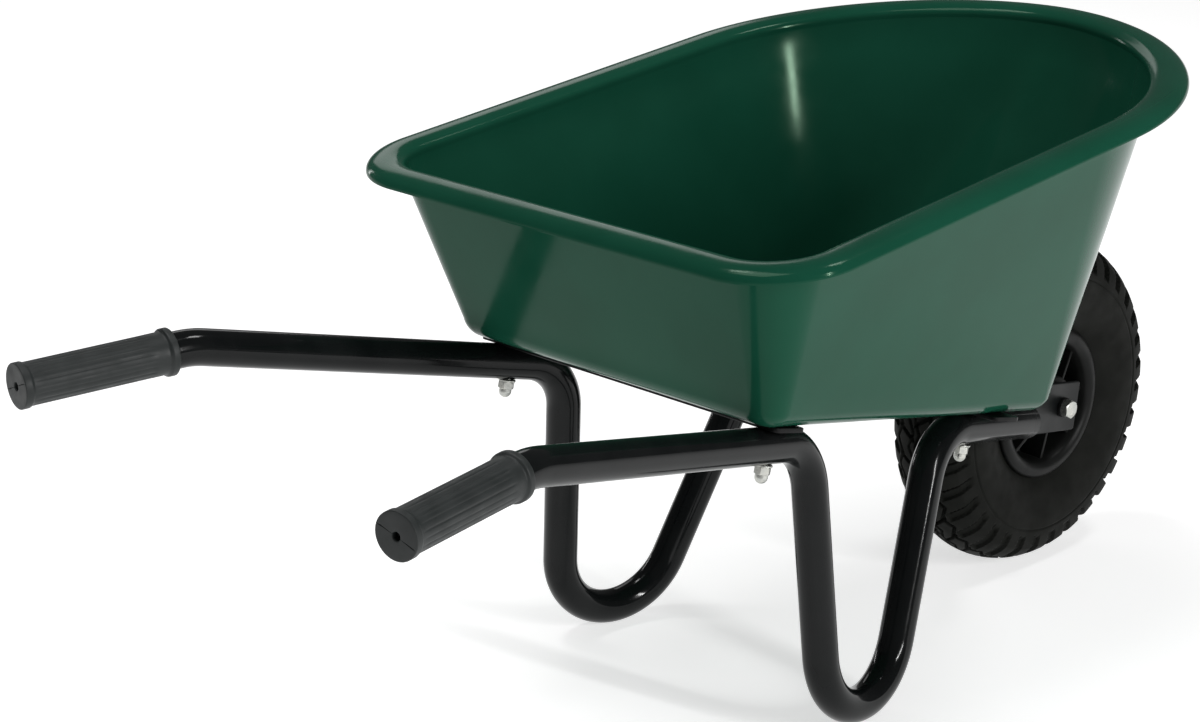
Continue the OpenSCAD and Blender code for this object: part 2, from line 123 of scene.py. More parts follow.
def rounded(corners, size, closed=True):
    """The corners of an outline, each turned into a short arc that starts and ends `size` from it."""
    out = []
    for i, corner in enumerate(corners):
        if not closed and i in (0, len(corners) - 1):
            out.append(corner)
            continue
        c = Vector(corner)
        ends = []
        for other in (corners[i - 1], corners[(i + 1) % len(corners)]):
            edge = Vector(other) - c
            ends.append(c + edge.normalized() * min(size, edge.length / 2))
        for t in (0, 0.3, 0.7, 1):
            out.append(tuple(ends[0].lerp(c, t).lerp(c.lerp(ends[1], t), t)))
    return out


def split_up(outline, spacing):
    """A closed outline with points added, so that they are about `spacing` apart."""
    out = []
    for (r0, h0), (r1, h1) in zip(outline, outline[1:] + outline[:1]):
        n = max(1, round(math.hypot(r1 - r0, h1 - h0) / spacing))
        out += [(lerp(r0, r1, i / n), lerp(h0, h1, i / n)) for i in range(n)]
    return out


def curve_through(points, n):
    """A smooth curve through the points, with n steps between neighbours."""
    p = [Vector(q) for q in points]
    p = [p[0] * 2 - p[1]] + p + [p[-1] * 2 - p[-2]]
    out = []
    for a, b, c, d in zip(p, p[1:], p[2:], p[3:]):
        for t in [i / n for i in range(n)]:
            out.append(0.5 * (2 * b + (c - a) * t + (2 * a - 5 * b + 4 * c - d) * t ** 2
                              + (3 * b - 3 * c + d - a) * t ** 3))
    return [tuple(q) for q in out + [p[-2]]]


# ---- meshes ----
def loft(rings, loop=False):
    """A closed shape through rings of points. A loop joins the last ring to the first, without ends."""
    n = len(rings[0])
    m = len(rings)
    points = [p for ring in rings for p in ring]
    faces = []
    for k in range(m if loop else m - 1):
        a = k * n
        b = (k + 1) % m * n
        faces += [(a + i, a + (i + 1) % n, b + (i + 1) % n, b + i) for i in range(n)]
    if not loop:
        faces += [tuple(range(n)), tuple(range((m - 1) * n, m * n))]
    return points, faces


def place(origin, x_dir, y_dir, z_dir):
    """A function from x, y, z in a shape's own axes to a point."""
    o, x_axis, y_axis, z_axis = Vector(origin), Vector(x_dir), Vector(y_dir), Vector(z_dir)
    return lambda x, y, z: tuple(o + x_axis * x + y_axis * y + z_axis * z)


def lathe(profile, to, sides=64, loop=True):
    """A turned shape from (radius, height) pairs. A loop is a ring with an open middle."""
    return loft([[to(r * cosd(a), r * sind(a), h) for a in turns(sides)] for r, h in profile], loop)


def mirrored(shape):
    """The same shape on the other side of the barrow."""
    points, faces = shape
    return [(x, -y, z) for x, y, z in points], faces


def new_piece(name, shapes, material, body, stands_for, sharp=40):
    """One visual piece from a list of (points, faces), in place of the CAD node it stands for."""
    points = []
    faces = []
    for shape_points, shape_faces in shapes:
        first = len(points)
        points += [((x + AXLE_X) * MM, y * MM, z * MM) for x, y, z in shape_points]
        faces += [tuple(first + i for i in face) for face in shape_faces]
    mesh = bpy.data.meshes.new(name)
    mesh.from_pydata(points, [], faces)
    work = bmesh.new()
    work.from_mesh(mesh)
    bmesh.ops.recalc_face_normals(work, faces=work.faces)
    work.to_mesh(mesh)
    work.free()
    mesh.shade_smooth()
    mesh.set_sharp_from_angle(angle=math.radians(sharp))
    mesh.materials.append(material)
    piece = bpy.data.objects.new(name, mesh)
    bpy.context.scene.collection.objects.link(piece)
    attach(piece, body)
    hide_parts(stands_for)
    return piece


# ---- materials ----
class Surface:
    """A Principled material whose colour, roughness and relief come from procedural textures."""

    def __init__(self, name, metallic=0.0, specular=0.5, tint=(1, 1, 1)):
        self.material = bpy.data.materials.new(name)
        self.material.use_nodes = True
        self.nodes = self.material.node_tree.nodes
        self.links = self.material.node_tree.links
        self.shader = self.nodes["Principled BSDF"]
        self.shader.inputs["Metallic"].default_value = metallic
        self.shader.inputs["Specular IOR Level"].default_value = specular
        self.shader.inputs["Specular Tint"].default_value = (*tint, 1)
        self.place = self.nodes.new("ShaderNodeTexCoord").outputs["Object"]
        self.roughness = None
        self.relief = None

    def noise(self, size, detail, stretch=None):
        """Noise whose features are about `size` millimetres across."""
        node = self.nodes.new("ShaderNodeTexNoise")
        node.inputs["Scale"].default_value = 1 / (size * MM)
        node.inputs["Detail"].default_value = detail
        where = self.place
        if stretch:
            mapping = self.nodes.new("ShaderNodeMapping")
            mapping.inputs["Scale"].default_value = stretch
            self.links.new(where, mapping.inputs["Vector"])
            where = mapping.outputs["Vector"]
        self.links.new(where, node.inputs["Vector"])
        return node.outputs["Fac"]

    def blotches(self, size, first, second, detail=3.0):
        """Two colours, mixed in soft patches."""
        ramp = self.nodes.new("ShaderNodeValToRGB")
        for element, position, colour in zip(ramp.color_ramp.elements, (0.35, 0.65), (first, second)):
            element.position = position
            element.color = (*colour, 1)
        self.links.new(self.noise(size, detail), ramp.inputs["Fac"])
        self.links.new(ramp.outputs["Color"], self.shader.inputs["Base Color"])
        return self

    def gloss(self, size, low, high, detail=4.0):
        """Roughness that wanders between two values."""
        spread = self.nodes.new("ShaderNodeMapRange")
        spread.inputs["From Min"].default_value = 0.3
        spread.inputs["From Max"].default_value = 0.7
        spread.inputs["To Min"].default_value = low
        spread.inputs["To Max"].default_value = high
        self.links.new(self.noise(size, detail), spread.inputs["Value"])
        self.links.new(spread.outputs["Result"], self.shader.inputs["Roughness"])
        self.roughness = spread.outputs["Result"]
        return self

    def duller_ahead_of(self, x, length, extra):
        """More roughness ahead of x, reached over `length`, both in metres. It follows gloss()."""
        part = self.nodes.new("ShaderNodeSeparateXYZ")
        self.links.new(self.place, part.inputs["Vector"])
        rise = self.nodes.new("ShaderNodeMapRange")
        rise.inputs["From Min"].default_value = x
        rise.inputs["From Max"].default_value = x + length
        rise.inputs["To Max"].default_value = extra
        self.links.new(part.outputs["X"], rise.inputs["Value"])
        total = self.nodes.new("ShaderNodeMath")
        self.links.new(self.roughness, total.inputs[0])
        self.links.new(rise.outputs["Result"], total.inputs[1])
        self.links.new(total.outputs["Value"], self.shader.inputs["Roughness"])
        return self

    def bumps(self, size, height, detail=2.0, stretch=None):
        """Relief of about `height` millimetres, over any added before it."""
        bump = self.nodes.new("ShaderNodeBump")
        bump.inputs["Distance"].default_value = height * MM
        bump.inputs["Strength"].default_value = 1.0
        self.links.new(self.noise(size, detail, stretch), bump.inputs["Height"])
        if self.relief:
            self.links.new(self.relief, bump.inputs["Normal"])
        self.relief = bump.outputs["Normal"]
        self.links.new(self.relief, self.shader.inputs["Normal"])
        return self


def moulded_green():
    """Gloss plastic with slow waves in its walls and a fine grain."""
    surface = Surface("tray_green", specular=0.10, tint=(0.66, 1.0, 0.72))
    surface.blotches(90, (0.0062, 0.0560, 0.0320), (0.0078, 0.0650, 0.0380))
    surface.gloss(28, 0.09, 0.19, detail=6.0)
    surface.bumps(60, 0.12, detail=1.0).bumps(11, 0.010, stretch=(1, 1, 0.3))
    return surface.bumps(2.5, 0.004).material


def black_paint():
    """Gloss paint, which is duller on the flattened ends beside the wheel."""
    surface = Surface("frame_black", specular=0.18)
    surface.blotches(30, (0.0040, 0.0048, 0.0050), (0.0062, 0.0070, 0.0072))
    surface.gloss(18, 0.09, 0.17).duller_ahead_of((AXLE_X - 110) * MM, 40 * MM, 0.3)
    return surface.bumps(5, 0.012, detail=1.0).material


def strip_paint():
    surface = Surface("strip_black", specular=0.1)
    surface.blotches(12, (0.0040, 0.0042, 0.0044), (0.0070, 0.0072, 0.0074))
    return surface.gloss(8, 0.25, 0.4).bumps(1.5, 0.01).material


def grip_rubber():
    surface = Surface("grip_rubber", specular=0.3)
    surface.blotches(14, (0.0150, 0.0180, 0.0178), (0.0215, 0.0250, 0.0248))
    surface.gloss(9, 0.42, 0.58)
    return surface.bumps(0.6, 0.03, detail=4.0).material


def tyre_rubber():
    surface = Surface("tyre_rubber", specular=0.06)
    surface.blotches(22, (0.0062, 0.0067, 0.0057), (0.0102, 0.0107, 0.0094), detail=5.0)
    surface.gloss(12, 0.52, 0.68)
    return surface.bumps(9, 0.08, detail=3.0).bumps(0.9, 0.03, detail=4.0).material


def tube_rubber():
    surface = Surface("tube_rubber")
    surface.blotches(20, (0.018, 0.018, 0.018), (0.030, 0.030, 0.029))
    return surface.gloss(10, 0.55, 0.7).bumps(1.2, 0.02).material


def rim_plastic():
    surface = Surface("rim_black", specular=0.12)
    surface.blotches(25, (0.0060, 0.0064, 0.0062), (0.0090, 0.0095, 0.0090))
    surface.gloss(10, 0.34, 0.48)
    return surface.bumps(0.8, 0.015, detail=3.0).material


def collar_plastic():
    surface = Surface("collar_black", specular=0.2)
    surface.blotches(5, (0.006, 0.006, 0.006), (0.010, 0.010, 0.010))
    return surface.gloss(4, 0.3, 0.45).bumps(0.5, 0.01).material


def zinc():
    surface = Surface("zinc", metallic=1.0)
    surface.blotches(4, (0.42, 0.43, 0.41), (0.56, 0.56, 0.52), detail=5.0)
    surface.gloss(2, 0.22, 0.42)
    return surface.bumps(0.5, 0.012, detail=4.0).material


def drawn_steel():
    surface = Surface("sleeve_steel", metallic=1.0)
    surface.blotches(6, (0.42, 0.43, 0.43), (0.56, 0.56, 0.55))
    return surface.gloss(3, 0.25, 0.4).bumps(0.7, 0.01, stretch=(1, 0.05, 1)).material


def brass():
    surface = Surface("valve_brass", metallic=1.0)
    surface.blotches(3, (0.58, 0.42, 0.17), (0.70, 0.53, 0.24))
    return surface.gloss(2, 0.25, 0.4).bumps(0.6, 0.01).material


def screw_finish():
    surface = Surface("screw_black", metallic=0.6)
    surface.blotches(3, (0.012, 0.012, 0.012), (0.024, 0.024, 0.024))
    return surface.gloss(2, 0.3, 0.45).bumps(0.5, 0.01).material


def nylon():
    surface = Surface("bush_nylon")
    surface.blotches(7, (0.62, 0.62, 0.57), (0.72, 0.72, 0.67))
    surface.shader.inputs["Subsurface Weight"].default_value = 0.2
    surface.shader.inputs["Subsurface Scale"].default_value = 2 * MM
    return surface.gloss(4, 0.35, 0.5).bumps(0.6, 0.01).material


def floor_paper():
    """White paper that glows a little, as on a light table, so that the shadows on it stay soft."""
    surface = Surface("floor_paper", specular=0.1)
    surface.blotches(400, (0.80, 0.80, 0.80), (0.82, 0.82, 0.82))
    surface.shader.inputs["Emission Color"].default_value = (1, 1, 1, 1)
    surface.shader.inputs["Emission Strength"].default_value = 0.62
    return surface.gloss(300, 0.85, 0.95).bumps(1.5, 0.02).material


GREEN = moulded_green()
BLACK = black_paint()
STRIP = strip_paint()
GRIP = grip_rubber()
TYRE = tyre_rubber()
TUBE = tube_rubber()
RIM = rim_plastic()
COLLAR = collar_plastic()
ZINC = zinc()
STEEL = drawn_steel()
BRASS = brass()
SCREW = screw_finish()
NYLON = nylon()


# ---- camera, floor and light ----
CAMERA_FROM_AXLE = (-1849.24, -1384.49, 905.72)
CAMERA_YAW = 44.599
CAMERA_PITCH = -17.780
CAMERA_ROLL = 0.4294
SENSOR_W = 36
LENS = 93.138                  # focal length, for a sensor of that width
LENS_SHIFT = (-0.01589167, -0.01695)    # in widths of the picture
FLOOR_HALF = 60.0              # metres, so that the floor fills low views too
WORLD_GLOW = 0.10
LIGHTS_AIM = (0.05, 0, 0.3)    # metres, a point in the tray

# Each softbox has a name, azimuth, elevation, distance, width, height and watts. Lengths are in metres.
SOFTBOXES = (
    ("rear_high", 165, 74, 3.0, 1.6, 1.2, 38),
    ("left_high", 102, 68, 3.2, 0.5, 0.5, 14),
    ("right_high", -23, 64, 3.2, 0.5, 0.5, 14),
    ("right_strip", -85, 18, 3.0, 0.13, 1.1, 42),
    ("left_strip", 88, 10, 3.0, 0.10, 1.1, 5),
    ("front_low", 58, 24, 3.2, 1.4, 0.8, 5),
)


def add_camera():
    lens = bpy.data.cameras.new("camera")
    camera = bpy.data.objects.new("camera", lens)
    bpy.context.scene.collection.objects.link(camera)
    lens.sensor_width = SENSOR_W
    lens.lens = LENS
    lens.shift_x, lens.shift_y = LENS_SHIFT
    x, y, z = CAMERA_FROM_AXLE
    camera.location = ((x + AXLE_X) * MM, y * MM, z * MM)
    camera.rotation_mode = "QUATERNION"
    roll = Quaternion((0, 0, 1), math.radians(CAMERA_ROLL))
    camera.rotation_quaternion = pointing(CAMERA_YAW, CAMERA_PITCH).to_track_quat("-Z", "Y") @ roll
    bpy.context.scene.camera = camera


def add_floor():
    corners = [(x * FLOOR_HALF, y * FLOOR_HALF, 0) for x, y in ((-1, -1), (1, -1), (1, 1), (-1, 1))]
    mesh = bpy.data.meshes.new("floor")
    mesh.from_pydata(corners, [], [(0, 1, 2, 3)])
    mesh.materials.append(floor_paper())
    floor = bpy.data.objects.new("floor", mesh)
    bpy.context.scene.collection.objects.link(floor)


def add_softbox(name, azimuth, elevation, distance, width, height, watts):
    """A rectangular light that faces the tray."""
    light = bpy.data.lights.new(name, "AREA")
    light.shape = "RECTANGLE"
    light.size = width
    light.size_y = height
    light.energy = watts
    lamp = bpy.data.objects.new(name, light)
    bpy.context.scene.collection.objects.link(lamp)
    away = pointing(azimuth, elevation)
    lamp.location = Vector(LIGHTS_AIM) + away * distance
    lamp.rotation_mode = "QUATERNION"
    lamp.rotation_quaternion = (-away).to_track_quat("-Z", "Y")


def add_light():
    world = bpy.data.worlds.new("studio")
    bpy.context.scene.world = world
    world.use_nodes = True
    background = world.node_tree.nodes["Background"]
    background.inputs["Color"].default_value = (1, 1, 1, 1)
    background.inputs["Strength"].default_value = WORLD_GLOW
    for softbox in SOFTBOXES:
        add_softbox(*softbox)
    bpy.context.scene.view_settings.view_transform = "Standard"


add_camera()
add_floor()
add_light()


# ---- the tube planes ----
LEAN_BACK = sind(TUBE_YAW) * sind(TUBE_LEAN)
PLANE_U = Vector((cosd(TUBE_YAW), sind(TUBE_YAW), 0))
PLANE_V = Vector((-LEAN_BACK, cosd(TUBE_YAW) * sind(TUBE_LEAN), cosd(TUBE_LEAN)))
PLANE_W = Vector((sind(TUBE_YAW) * cosd(TUBE_LEAN), -cosd(TUBE_YAW) * cosd(TUBE_LEAN), sind(TUBE_LEAN)))


def plane_point(u, v, w=0.0):
    """From the right tube's plane, u forward, v up and w out of it, to a point."""
    return Vector((0, -PLANE_Y, 0)) + PLANE_U * u + PLANE_V * v + PLANE_W * w


def on_run(u):
    """The middle of the straight run under the tray, in the plane."""
    return Vector((u, RUN_V - u * tand(RUN_SLOPE)))


def heading(v):
    """A direction's angle in the plane, 0 forward and 90 up."""
    return math.degrees(math.atan2(v.y, v.x))


GRIP_DIR = Vector((-cosd(GRIP_DROP), -sind(GRIP_DROP)))
GRIP_END = on_run(GRIP_BEND_U) + GRIP_DIR * ((GRIP_BEND_U - GRIP_END_U) / cosd(GRIP_DROP))


def tube_path():
    """The corners of the bent tube and the radius of each bend."""
    rear, front = on_run(REAR_BEND_U), on_run(FRONT_BEND_U)
    rear_lean, front_lean = tand(REAR_LEG_LEAN), tand(FRONT_LEG_LEAN)
    foot_v = ((REAR_BEND_U - FRONT_BEND_U + rear.y * rear_lean + front.y * front_lean)
              / (rear_lean + front_lean))
    foot = Vector((REAR_BEND_U + (rear.y - foot_v) * rear_lean, foot_v))
    half = (REAR_LEG_LEAN + FRONT_LEG_LEAN) / 2
    tilt = (FRONT_LEG_LEAN - REAR_LEG_LEAN) / 2
    foot_r = (TUBE_R / cosd(TUBE_LEAN) - foot_v) / (cosd(tilt) / sind(half) - 1)
    start = GRIP_END - GRIP_DIR * GRIP_WALL
    corners = [start, on_run(GRIP_BEND_U), rear, foot, front, on_run(FLATTEN_U)]
    return corners, [0, GRIP_BEND_R, LEG_BEND_R, foot_r, LEG_BEND_R, 0]


def tube_stations(bend_step=3.0):
    """Places along the tube's middle, each with its heading in the plane."""
    corners, radii = tube_path()
    out = [(corners[0], heading(corners[1] - corners[0]))]
    for before, corner, after, radius in zip(corners, corners[1:], corners[2:], radii[1:]):
        d = (corner - before).normalized()
        turn = heading(after - corner) - heading(corner - before)
        side = 1 if turn > 0 else -1
        start = corner - d * radius * tand(abs(turn) / 2)
        centre = start + Vector((-d.y, d.x)) * radius * side
        n = math.ceil(abs(turn) / bend_step)
        for a in steps(heading(d), heading(d) + turn, n):
            out.append((centre + Vector((sind(a), -cosd(a))) * radius * side, a))
    out.append((corners[-1], -RUN_SLOPE))
    return out


TUBE_SIDES = 56
PLATE_T = 2 * TUBE_WALL        # the flattened end is the tube's two walls, pressed together
PLATE_H = 39
PLATE_SLOPE = 9
PLATE_BACK = -47               # where it starts and ends, forward of the axle and along its slope
PLATE_FRONT = 18
PLATE_CORNER = 3.0
SIDE_FLAT = 3                  # its section is an ellipse, stretched this much in thickness and
EDGE_FLAT = 1.02               # this much in height, then cut off flat at its own size
PRESS_EARLY = 0.6              # powers of the way along the pressed length, which move the middle of the
PRESS_LATE = 1.2               # tube in early and its edges late
PRESS_RINGS = 40


def round_ring(station, r):
    """A ring around the tube at one of its stations."""
    middle, a = station
    out = []
    for turn in turns(TUBE_SIDES):
        u = middle.x - sind(a) * r * cosd(turn)
        v = middle.y + cosd(a) * r * cosd(turn)
        out.append(plane_point(u, v, r * sind(turn)))
    return out


def flat_ring(x, h):
    """A ring around the flattened end, h high, with its long sides flat."""
    out = []
    for turn in turns(TUBE_SIDES):
        y = -FORK_HALF - PLATE_T / 2 - PLATE_T / 2 * max(-1, min(1, SIDE_FLAT * sind(turn)))
        z = h / 2 * max(-1, min(1, EDGE_FLAT * cosd(turn)))
        out.append(Vector((x * cosd(PLATE_SLOPE) + z * sind(PLATE_SLOPE), y,
                           TYRE_R - x * sind(PLATE_SLOPE) + z * cosd(PLATE_SLOPE))))
    return out


def pressed_ring(s):
    """A ring at s from 0, the round tube, to 1, the flattened end."""
    a = round_ring((on_run(FLATTEN_U), -RUN_SLOPE), TUBE_R)
    b = flat_ring(PLATE_BACK, PLATE_H)
    out = []
    for turn, p, q in zip(turns(TUBE_SIDES), a, b):
        pressed = s ** lerp(PRESS_LATE, PRESS_EARLY, sind(turn) ** 2)
        out.append(Vector((lerp(p.x, q.x, s), lerp(p.y, q.y, pressed), lerp(p.z, q.z, s))))
    return out


def frame_tube():
    rings = [round_ring(station, TUBE_R) for station in tube_stations()]
    rings += [pressed_ring(s) for s in steps(0, 1, PRESS_RINGS)[1:]]
    for a in steps(0, 90, 5):
        forward = PLATE_FRONT - PLATE_CORNER + PLATE_CORNER * sind(a)
        rings.append(flat_ring(forward, PLATE_H - PLATE_CORNER * (1 - cosd(a))))
    return loft([[tuple(p) for p in ring] for ring in rings])


# ---- grips ----
GRIP_END_R = 15.2              # radius of the thick end, and how far from the end face it starts and stops
GRIP_END_TAPER = (5.2, 6.4)    # narrowing to the body
GRIP_BODY_R = 14.3
GRIP_FLANGE_R = 16.0           # radius of the flange, and how far from the inner end it starts and stops
GRIP_FLANGE_TAPER = (6, 4.6)   # rising from the body
GRIP_BORE_R = TUBE_R + 0.05
GRIP_HOLE_R = 2.8
GRIP_EDGE = 0.7
GRIP_SPACING = 3               # between rings of points, along the grip
GRIP_RIBS = 20
RIB_SIDES = 10                 # points across each rib
RIB_DEPTH = 0.45
RIBS_FROM = 9                  # from the end face
RIBS_TO = GRIP_L - 17
RIBS_FADE = 2
SLIT_AT = 63                   # where round the end face the slit runs out to its edge
SLIT_DEPTH = 0.9


def grip_profile():
    """Radius and distance from the end face: out of the hole, along the grip, and back in its bore."""
    outline = [(GRIP_HOLE_R, 0), (GRIP_END_R, 0), (GRIP_END_R, GRIP_END_TAPER[0]),
               (GRIP_BODY_R, GRIP_END_TAPER[1]), (GRIP_BODY_R, GRIP_L - GRIP_FLANGE_TAPER[0]),
               (GRIP_FLANGE_R, GRIP_L - GRIP_FLANGE_TAPER[1]), (GRIP_FLANGE_R, GRIP_L),
               (GRIP_BORE_R, GRIP_L), (GRIP_BORE_R, GRIP_WALL), (GRIP_HOLE_R, GRIP_WALL)]
    return split_up(rounded(outline, GRIP_EDGE), GRIP_SPACING)


def grip():
    """The right grip, with ribs along its body and a fine slit across its end face."""
    to = place(plane_point(*GRIP_END), -GRIP_DIR.x * PLANE_U - GRIP_DIR.y * PLANE_V,
               -GRIP_DIR.y * PLANE_U + GRIP_DIR.x * PLANE_V, PLANE_W)
    sides = GRIP_RIBS * RIB_SIDES
    rings = []
    for r, h in grip_profile():
        outside = r > GRIP_BORE_R + 0.5
        ribbed = smooth((h - RIBS_FROM) / RIBS_FADE) * smooth((RIBS_TO - h) / RIBS_FADE) if outside else 0
        on_face = h < 0.1 and GRIP_HOLE_R < r < GRIP_END_R - 1
        ring = []
        for i in range(sides):
            a = SLIT_AT + 360 * i / sides
            rib = abs(i % RIB_SIDES / RIB_SIDES * 2 - 1)
            radius = r - RIB_DEPTH * ribbed * rib ** 3
            depth = SLIT_DEPTH if on_face and i % (sides // 2) == 0 else 0
            ring.append(to(h + depth, radius * cosd(a), radius * sind(a)))
        rings.append(ring)
    return loft(rings, loop=True)


# ---- the load plane and the fasteners on it ----
LOAD_ORIGIN = Vector((0, 0, LOAD_Z0))
LOAD_X = Vector((cosd(LOAD_SLOPE), 0, -sind(LOAD_SLOPE)))
LOAD_UP = Vector((sind(LOAD_SLOPE), 0, cosd(LOAD_SLOPE)))
STRIP_W = 30
STRIP_HALVES = (139, 118)      # half lengths of the rear and the front strip
STRIP_EDGE = 0.8
STRIP_CORNER = 4.0
BOLT_R = 3
BOLT_HEAD_R = 7
BOLT_HEAD_H = 3.8
BOLT_HEAD_EDGE = 0.6           # the straight edge below the head's dome
BOLT_TIP = 0.6                 # chamfer
BOLT_IN_NUT = 6                # how far the bolt goes into the cap nut
WASHER_BORE_R = 3.3
WASHER_EDGE = 0.3
BOLT_WASHER_R = 8
BOLT_WASHER_T = 1.5
NUT_WASHER_R = 6.25
NUT_WASHER_T = 1.2
NUT_AF = 10
NUT_H = 5.5
DOME_R = 4.4
DOME_FOOT = 0.25               # fillet at the foot of the cap nut's dome
DOME_STRAIGHT = 1.9            # height of its upright part
CLAMP_T = STRIP_T + 2 * TUBE_R + 0.1    # from the tray to the nut's washer, with 0.1 of play
HEX_SIDES = 96
HEX_TURNED = 0.96              # a chamfered end's circle, over the width across the flats
HEX_CHAMFER = 0.6              # height of the chamfer, over how far it cuts the corners back


def bolt_places():
    """A place for each tray bolt, with z square to the floor and 0 at the floor's underside."""
    out = []
    for u in BOLT_US:
        middle = plane_point(*on_run(u))
        for side in (1, -1):
            along = LOAD_X * (middle.x / cosd(LOAD_SLOPE))
            origin = LOAD_ORIGIN + along + Vector((0, side * middle.y, 0))
            out.append(place(origin, LOAD_X, (0, 1, 0), LOAD_UP))
    return out


def cross_strip(u, half):
    """A flat bar with rounded edges, under the tray's floor."""
    along = plane_point(*on_run(u)).x / cosd(LOAD_SLOPE)
    to = place(LOAD_ORIGIN + LOAD_X * along, LOAD_X, (0, 1, 0), LOAD_UP)
    edge = STRIP_W / 2
    section = rounded([(-edge, 0), (edge, 0), (edge, -STRIP_T), (-edge, -STRIP_T)], STRIP_EDGE)
    rings = []
    for a in steps(90, 0, 6):
        pull = STRIP_CORNER * (1 - cosd(a))
        rings.append((half - STRIP_CORNER * (1 - sind(a)), 1 - 2 * pull / STRIP_W))
    rings = [(-y, k) for y, k in rings] + rings[::-1]
    return loft([[to(x * k, y, z) for x, z in section] for y, k in rings])


def hex_ring(across, h, limit, to):
    """A hexagon's outline at height h, cut back to a circle of radius `limit` at its corners."""
    out = []
    for a in turns(HEX_SIDES):
        r = min(across / 2 / cosd((a + 30) % 60 - 30), limit)
        out.append(to(r * cosd(a), r * sind(a), h))
    return out


def hexagon(across, low, high, to, chamfer_high=True):
    """Rings up a hexagon whose corners are turned off at the low end, and at the high end if asked."""
    corner = across / 2 / cosd(30)
    inner = across / 2 * HEX_TURNED
    depth = (corner - inner) * HEX_CHAMFER
    rings = [hex_ring(across, low + depth * t, lerp(inner, corner, t), to) for t in steps(0, 1, 4)]
    if chamfer_high:
        return rings + [hex_ring(across, high - depth * t, lerp(inner, corner, t), to)
                        for t in steps(1, 0, 4)]
    return rings + [hex_ring(across, high, corner, to)]


def circle_ring(r, h, to):
    return [to(r * cosd(a), r * sind(a), h) for a in turns(HEX_SIDES)]


def cap_nut(to):
    """A hexagon against the washer, and below it a closed dome over the bolt's end."""
    high = -CLAMP_T - NUT_WASHER_T
    low = high - NUT_H
    rings = hexagon(NUT_AF, low, high, to)[::-1]
    for a in steps(0, 90, 3):
        rings.append(circle_ring(DOME_R + DOME_FOOT * (1 - sind(a)), low - DOME_FOOT * sind(a), to))
    for a in steps(0, 84, 14):
        rings.append(circle_ring(DOME_R * cosd(a), low - DOME_STRAIGHT - DOME_R * sind(a), to))
    return loft(rings)


def tray_bolt(to):
    """A domed head on the washer, and the shank down into the cap nut."""
    low = TRAY_WALL + BOLT_WASHER_T
    end = -CLAMP_T - NUT_WASHER_T - BOLT_IN_NUT
    dome_h = BOLT_HEAD_H - BOLT_HEAD_EDGE
    dome = [(BOLT_HEAD_R * sind(a), low + BOLT_HEAD_EDGE + dome_h * cosd(a)) for a in steps(3, 90, 14)]
    shank = [(BOLT_R, low), (BOLT_R, end + BOLT_TIP), (BOLT_R - BOLT_TIP, end)]
    return lathe(dome + [(BOLT_HEAD_R, low)] + shank, to, loop=False)


def washer(outer, bore, low, high, to, edge=WASHER_EDGE):
    return lathe(rounded([(bore, low), (outer, low), (outer, high), (bore, high)], edge), to)


# ---- tray ----
TRAY_HALF = 212                # half width over the rim, at the rear
RIM_L = 571                    # length over the rim, along its slope
LIP_W = 27
WHEEL_HOLLOW = 30              # how far the hollow for the tyre reaches back into the floor
RIM_REAR_X = -519
RIM_REAR_Z = 368
RIM_SLOPE = 5.94
RIM_CORNER_R = 65
NOSE_L = 212                   # the rim's rounded front
NOSE_HALF = 206
NOSE_POWER = 1.9               # 2 makes it half an ellipse, and less makes it more pointed
LIP_DROP = 5                   # from the rim's plane down to its outer edge
FLOOR_REAR_X = -458
FLOOR_FRONT_X = -109
FLOOR_REAR_HALF = 146
FLOOR_FRONT_HALF = 106
FLOOR_REAR_R = 14
FLOOR_FRONT_R = 18
FLOOR_FILLET = 18
FLAT_EDGE = 1.2                # width of the ring round the flat floor, which keeps its shading flat
HOLLOW_HALF = 78
NOSE_SPLIT = 14                # how far off forward the nose faces, beside the ends of the floor's front
WALL_FLARE = 22                # how far the wall's foot leans out
WALL_INSET = 2                 # how far the inner floor ends inside the outer one
FLOOR_L = (FLOOR_FRONT_X - FLOOR_REAR_X) / cosd(LOAD_SLOPE)


def direction(a):
    return Vector((cosd(a), sind(a)))


def corner_centre(corner, a, b, r):
    """Centre of a circle of radius r that touches the edges, square to a and b, that meet at a corner."""
    return Vector(corner) - (direction(a) + direction(b)) * r / (1 + direction(a).dot(direction(b)))


def nose_point(a):
    """The point of the rim's rounded nose whose edge is square to direction a."""
    q = 1 / (NOSE_POWER - 1)
    x = (max(cosd(a), 0) * NOSE_L ** NOSE_POWER) ** q
    y = (max(sind(a), 0) * NOSE_HALF ** NOSE_POWER) ** q
    s = ((x / NOSE_L) ** NOSE_POWER + (y / NOSE_HALF) ** NOSE_POWER) ** (1 / NOSE_POWER)
    return Vector((RIM_L - NOSE_L + x / s, y / s))


